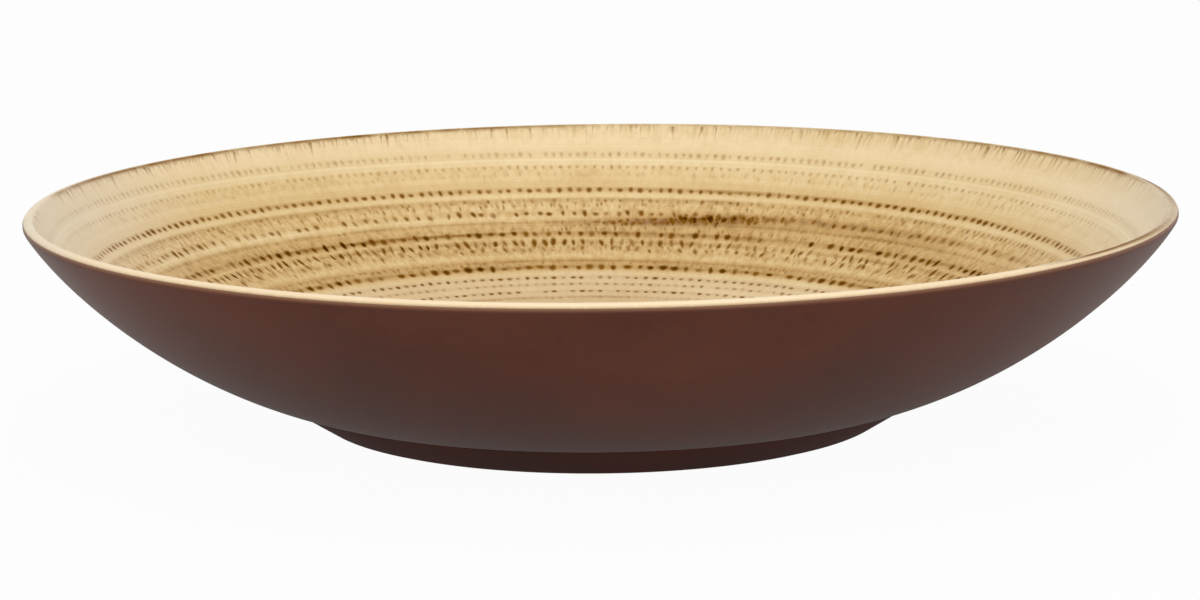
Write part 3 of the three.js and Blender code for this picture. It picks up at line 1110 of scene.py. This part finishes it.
def dab_mesh():
    """One mark of unit size: a low closed lens, darkest in the middle and narrower at its lower end."""
    angle = np.arange(DAB_SIDES) * FULL_TURN / DAB_SIDES
    taper = DAB_WAIST + DAB_SWELL * np.sin(angle)
    outline = np.stack([0.5 * taper * np.cos(angle), 0.5 * np.sin(angle), 0 * angle], 1)
    points = np.concatenate([outline * share + [0, 0, height] for share, height, _ in DAB_RINGS])
    fades = np.repeat([dark for _, _, dark in DAB_RINGS], DAB_SIDES)
    top = len(points)
    count = len(DAB_RINGS)
    faces = ring_faces(count, False, DAB_SIDES)
    faces += pole_faces(count - 1, top, DAB_SIDES) + pole_faces(0, top + 1, DAB_SIDES)
    points = np.concatenate([points, [[0, 0, 1], [0, 0, DAB_KEEL]]])
    return closed_mesh("oxide_dab", points, faces, {"fade": np.concatenate([fades, [1, 0]])})


def streak_mesh():
    """One streak of unit size, dark at the lip and fading as it runs down."""
    points = []
    fades = []
    for share, width, dark in STREAK_ROWS:
        for across, rise in STREAK_CORNERS:
            points.append((across * width, -share, rise))
            fades.append(dark if rise > 0 else 0)
    sides = len(STREAK_CORNERS)
    faces = ring_faces(len(STREAK_ROWS), False, sides)
    faces.append(list(reversed(range(sides))))
    faces.append(list(range(len(points) - sides, len(points))))
    return closed_mesh("rim_streak", points, faces, {"fade": fades})


def mark_tree():
    """Geometry nodes that set copies of a mark along a line, each with a size, slant and darkness."""
    tree = bpy.data.node_groups.new("row of marks", "GeometryNodeTree")
    sockets = {
        "Mark": "Geometry", "Count": "Int", "Spacing": "Float", "Start": "Float", "Scatter": "Vector",
        "Least Size": "Vector", "Most Size": "Vector", "Slant": "Float", "Slant Spread": "Float",
        "Missing": "Float", "Least Darkness": "Float", "Most Darkness": "Float", "Seed": "Int",
        "Finish": "Material"}
    for name, kind in sockets.items():
        tree.interface.new_socket(name=name, in_out="INPUT", socket_type="NodeSocket" + kind)
    tree.interface.new_socket(name="Marks", in_out="OUTPUT", socket_type="NodeSocketGeometry")
    given = add(tree, "NodeGroupInput").outputs
    ranges = (
        ("FLOAT_VECTOR", (-1, -1, 0), (1, 1, 0)),
        ("FLOAT", -1.0, 1.0),
        ("FLOAT_VECTOR", given["Least Size"], given["Most Size"]),
        ("FLOAT", 0.0, 1.0),
        ("FLOAT", given["Least Darkness"], given["Most Darkness"]))
    draws = []
    for step, (kind, low, high) in enumerate(ranges, 1):
        seed = add(tree, "ShaderNodeMath", {0: given["Seed"], 1: step}).outputs[0]
        first, drawn = (0, 0) if kind == "FLOAT_VECTOR" else (2, 1)
        draw = add(tree, "FunctionNodeRandomValue", {
            first: low, first + 1: high, "Seed": seed}, data_type=kind)
        draws.append(draw.outputs[drawn])
    throw, tilt, size, chance, dark = draws
    index = add(tree, "GeometryNodeInputIndex").outputs[0]
    along = add(tree, "ShaderNodeMath", {
        0: index, 1: given["Spacing"], 2: given["Start"]}, operation="MULTIPLY_ADD")
    start = add(tree, "ShaderNodeCombineXYZ", {"X": along.outputs[0]})
    shift = add(tree, "ShaderNodeVectorMath", {0: throw, 1: given["Scatter"]}, operation="MULTIPLY")
    place = add(tree, "ShaderNodeVectorMath", {0: start.outputs[0], 1: shift.outputs[0]}, operation="ADD")
    points = add(tree, "GeometryNodePoints", {"Count": given["Count"], "Position": place.outputs[0]})
    turn = add(tree, "ShaderNodeMath", {
        0: tilt, 1: given["Slant Spread"], 2: given["Slant"]}, operation="MULTIPLY_ADD")
    euler = add(tree, "ShaderNodeCombineXYZ", {"Z": turn.outputs[0]})
    rotation = add(tree, "FunctionNodeEulerToRotation", {0: euler.outputs[0]})
    kept = add(tree, "FunctionNodeCompare", {0: chance, 1: given["Missing"]}, operation="GREATER_THAN")
    copies = add(tree, "GeometryNodeInstanceOnPoints", {
        "Points": points.outputs[0], "Selection": kept.outputs[0], "Instance": given["Mark"],
        "Rotation": rotation.outputs[0], "Scale": size})
    stored = add(tree, "GeometryNodeStoreNamedAttribute", {
        "Geometry": copies.outputs[0], "Name": "darkness", "Value": dark},
        domain="INSTANCE", data_type="FLOAT")
    real = add(tree, "GeometryNodeRealizeInstances", {0: stored.outputs[0]})
    dressed = add(tree, "GeometryNodeSetMaterial", {
        "Geometry": real.outputs[0], "Material": given["Finish"]})
    add(tree, "NodeGroupOutput", {0: dressed.outputs[0]})
    return tree


def laid_marks(name, mark, tree, values):
    """An object holding the marks along a straight line, as a plain mesh in millimetres."""
    piece = new_object(name, mark)
    modifier = piece.modifiers.new("marks", "NODES")
    modifier.node_group = tree
    names = {item.name: item.identifier for item in tree.interface.items_tree if item.in_out == "INPUT"}
    for key, value in values.items():
        modifier[names[key]] = value
    depsgraph = bpy.context.evaluated_depsgraph_get()
    mesh = bpy.data.meshes.new_from_object(
        piece.evaluated_get(depsgraph), preserve_all_data_layers=True, depsgraph=depsgraph)
    mesh.name = name
    piece.modifiers.remove(modifier)
    piece.data = mesh
    return piece


def read(mesh, name):
    values = np.zeros(len(mesh.vertices), np.float32)
    mesh.attributes[name].data.foreach_get("value", values)
    return values.astype(float)


def set_round(piece, radius, place, darken):
    """Wraps marks laid along a line round the inside, and gives each point its tone."""
    mesh = piece.data
    flat = np.zeros(len(mesh.vertices) * 3)
    mesh.vertices.foreach_get("co", flat)
    x, y, z = flat.reshape(-1, 3).T
    turn = wrapped(x / radius)
    drop, angle = place(-y, turn)
    mesh.vertices.foreach_set("co", (on_inside(drop, angle, z - MARK_SINK) * MM).ravel())
    mesh.flip_normals()
    mesh.normals_split_custom_set_from_vertices(inside_normals(drop, angle).tolist())
    values = tones(drop, angle)
    darkness = read(mesh, "fade") * read(mesh, "darkness") * darken(turn) * sheen_washout(turn)
    values["mark"] = np.clip(np.maximum(darkness, values["mark"]), 0, 1)
    for key in ("fade", "darkness"):
        mesh.attributes.remove(mesh.attributes[key])
    give(mesh, values)
    mesh.update()


# Fewest marks in a row, how far their height varies, and their scatter along the row as against across
FEWEST_MARKS = 4
RISE_VARY = 0.1
SCATTER_ALONG = 1.4


def arc_of_marks(name, mark, style, radius, start, sweep, seed):
    """Marks of one style along part of a ring, still laid along a line."""
    length = radius * sweep
    count = max(FEWEST_MARKS, round(length / style.spacing))
    size = np.array([style.width, style.length, MARK_RISE])
    vary = np.array([style.vary, style.vary, RISE_VARY])
    return laid_marks(name, mark, MARKS, {
        "Count": count,
        "Spacing": length / count,
        "Start": start * radius,
        "Scatter": (style.scatter * SCATTER_ALONG, style.scatter, 0),
        "Least Size": tuple(size * (1 - vary)),
        "Most Size": tuple(size * (1 + vary)),
        "Slant": math.radians(style.slant),
        "Slant Spread": math.radians(style.spread),
        "Missing": style.missing,
        "Least Darkness": style.least,
        "Most Darkness": style.most,
        "Seed": seed,
        "Finish": OXIDE,
    })


def ring_of_marks(ring):
    """One ring of marks on the inside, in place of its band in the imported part."""
    name = ring.node.replace("band", "marks")
    piece = arc_of_marks(name, DAB, ring.style, ring.radius, 0, FULL_TURN, ring.seed)
    set_round(
        piece, ring.radius,
        lambda down, turn: thrown_to_plate(ring.drop + down, turn),
        lambda turn: patchy(turn, ring.seed + MARK_SEED, MARK_PATCHES))
    settle(piece, None, "mark_oxide", ring.node)


def smoked_marks(ring):
    """The dark stretch of one ring, where the marks ran together, and the dotted line beside it."""
    parts = (
        ("smoked_marks", SMOKE_STYLE, SMOKE_STRETCH, SMOKE_RISE,
         lambda turn: SMOKE_LEAST + SMOKE_MORE * hump(turn, SMOKE_MIDDLE, SMOKE_WIDTH)),
        ("smoked_line", TAIL_STYLE, TAIL_STRETCH, TAIL_RISE,
         lambda turn: np.clip((math.radians(TAIL_STRETCH[1]) - turn) / TAIL_FADE, TAIL_LEAST, 1)))
    for step, (name, style, span, rise, darken) in enumerate(parts):
        start, end = np.radians(span)
        seed = ring.seed + SMOKE_SEED + step
        piece = arc_of_marks(name, DAB, style, ring.radius, start, end - start, seed)
        drop = ring.drop - rise
        set_round(
            piece, ring.radius,
            lambda down, turn: thrown_to_plate(drop - SMOKE_CLIMB * (SMOKE_MIDDLE - turn) + down, turn),
            darken)
        settle(piece, None, "mark_oxide", ring.node)


def hanging_dashes(ring, below, strength):
    """Short dashes scattered round the plate under one ring."""
    name = ring.node.replace("band", "dashes")
    piece = arc_of_marks(name, DAB, DASH_STYLE, ring.radius, 0, FULL_TURN, ring.seed + DASH_SEED)
    set_round(
        piece, ring.radius,
        lambda down, turn: thrown_to_plate(ring.drop + below + down, turn),
        lambda turn: strength * patchy(turn, ring.seed + DASH_FADE_SEED, DASH_PATCHES))
    settle(piece, None, "mark_oxide", ring.node)


def rim_streaks():
    """Streaks of oxide that run down from the brown edge inside the lip, in place of its band."""
    radius = float(inside_at(0)[0])
    parts = (
        ("rim_ticks", TICK_STYLE, lambda turn: patchy(turn, RANDOM_SEED + TICK_SEED, TICK_PATCHES)),
        ("rim_runs", RUN_STYLE, lambda turn: RUN_LEAST + RUN_MORE * stretch(turn, RUN_MIDDLE, RUN_WIDTH)))
    for step, (name, style, darken) in enumerate(parts):
        seed = RANDOM_SEED + STREAK_SEED + step
        piece = arc_of_marks(name, STREAK, style, radius, 0, FULL_TURN, seed)
        set_round(
            piece, radius,
            lambda down, turn: (RIM_LINE_DROP + np.maximum(down, -STREAK_OVERRUN), turn), darken)
        settle(piece, None, "rim_oxide", "rim_band")


MARKS = mark_tree()
DAB = dab_mesh()
STREAK = streak_mesh()

settle(clay_shell(), CLAY, "bare_clay", "clay_shell")
settle(foot_ring(), CLAY, "bare_clay", "foot_ring")
settle(cream_inside(), CREAM, "cream_glaze", "interior_glaze")
settle(brown_outside(), BROWN, "brown_glaze", "wall_glaze")
settle(foot_coat(), SHADED_FOOT_BROWN, "foot_glaze", "foot_glaze")
settle(underside_coat(), BROWN, "brown_glaze", "underside_glaze")
rim_streaks()
for each in RINGS:
    ring_of_marks(each)
    if each.node == SMOKED_RING:
        smoked_marks(each)
    for node, below, strength in DASHES:
        if node == each.node:
            hanging_dashes(each, below, strength)


# Stage: a pale floor, soft studio light and the photograph's camera

# Floor: its width and its gap under the plate in metres, its colour, and its share of plain white to the
# camera and in reflections
FLOOR_SIZE = 8.0
FLOOR_GAP = 0.05 * MM
FLOOR_WHITE = "#ebe9e6"
FLOOR_GLOW = 0.96
FLOOR_MIRRORED = 0.22


def pale_floor():
    mesh = bpy.data.meshes.new("floor")
    half = FLOOR_SIZE / 2
    corners = ((-half, -half), (half, -half), (half, half), (-half, half))
    mesh.from_pydata([(x, y, -FLOOR_GAP) for x, y in corners], [], [(0, 1, 2, 3)])
    floor = new_object("floor", mesh)
    material = bpy.data.materials.new("white studio sweep")
    tree = empty_tree(material)
    paper = add(tree, "ShaderNodeBsdfDiffuse", {"Color": linear(FLOOR_WHITE)})
    glow = add(tree, "ShaderNodeEmission", {"Color": (1, 1, 1, 1), "Strength": 1.0})
    path = add(tree, "ShaderNodeLightPath").outputs
    mirrored = add(tree, "ShaderNodeMath", {
        0: path["Is Glossy Ray"], 1: FLOOR_MIRRORED}, operation="MULTIPLY")
    share = add(tree, "ShaderNodeMath", {
        0: path["Is Camera Ray"], 1: FLOOR_GLOW, 2: mirrored.outputs[0]}, operation="MULTIPLY_ADD")
    both = add(tree, "ShaderNodeMixShader", {
        0: share.outputs[0], 1: paper.outputs[0], 2: glow.outputs[0]})
    add(tree, "ShaderNodeOutputMaterial", {"Surface": both.outputs[0]})
    mesh.materials.append(material)


# Strength of the white surroundings as light
WORLD_LIGHT = 0.45


def studio_world():
    world = bpy.data.worlds.new("white studio")
    tree = empty_tree(world)
    path = add(tree, "ShaderNodeLightPath").outputs
    shown = path["Is Camera Ray"]
    for kind in ("Is Glossy Ray", "Is Transmission Ray"):
        shown = add(tree, "ShaderNodeMath", {0: shown, 1: path[kind]}, operation="MAXIMUM").outputs[0]
    level = add(tree, "ShaderNodeMapRange", {"Value": shown, "To Min": WORLD_LIGHT, "To Max": 1.0})
    sky = add(tree, "ShaderNodeBackground", {
        "Color": (1, 1, 1, 1), "Strength": level.outputs["Result"]})
    add(tree, "ShaderNodeOutputWorld", {"Surface": sky.outputs[0]})
    bpy.context.scene.world = world


# Soft lights: name, place and width in metres, power in watts, and the middle of the plate that they face
SOFTBOXES = (("overhead", (0.1, -0.25, 1.5), 1.4, 10), ("front_fill", (-0.1, -1.7, 0.7), 1.2, 8))
SOFTBOX_AIM = (0, 0, 0.03)


def softbox(name, place, size, power):
    """A square soft light that faces the plate."""
    lamp = bpy.data.lights.new(name, "AREA")
    lamp.shape = "SQUARE"
    lamp.size = size
    lamp.energy = power
    light = new_object(name, lamp)
    aim = np.array(SOFTBOX_AIM, float) - np.array(place, float)
    light.location = place
    light.rotation_euler = (
        math.acos(-aim[2] / np.linalg.norm(aim)), 0, math.atan2(aim[1], aim[0]) - math.pi / 2)


# Camera fitted to the photograph: place in metres, angles in degrees, lens and sensor in millimetres
CAMERA_PLACE = (0, -0.8534, 0.1828)
CAMERA_PITCH = 10.389
CAMERA_YAW = 0.022
CAMERA_ROLL = -0.651
CAMERA_LENS = 114.0
SENSOR_WIDTH = 36.0


def photo_camera():
    camera = new_object("camera", bpy.data.cameras.new("camera"))
    camera.data.sensor_fit = "HORIZONTAL"
    camera.data.sensor_width = SENSOR_WIDTH
    camera.data.lens = CAMERA_LENS
    camera.matrix_world = (
        Matrix.Translation(CAMERA_PLACE)
        @ Matrix.Rotation(math.radians(CAMERA_YAW), 4, "Z")
        @ Matrix.Rotation(math.radians(90 - CAMERA_PITCH), 4, "X")
        @ Matrix.Rotation(math.radians(CAMERA_ROLL), 4, "Z"))
    bpy.context.scene.camera = camera


pale_floor()
studio_world()
for each in SOFTBOXES:
    softbox(*each)
photo_camera()
bpy.context.scene.view_settings.view_transform = "Standard"
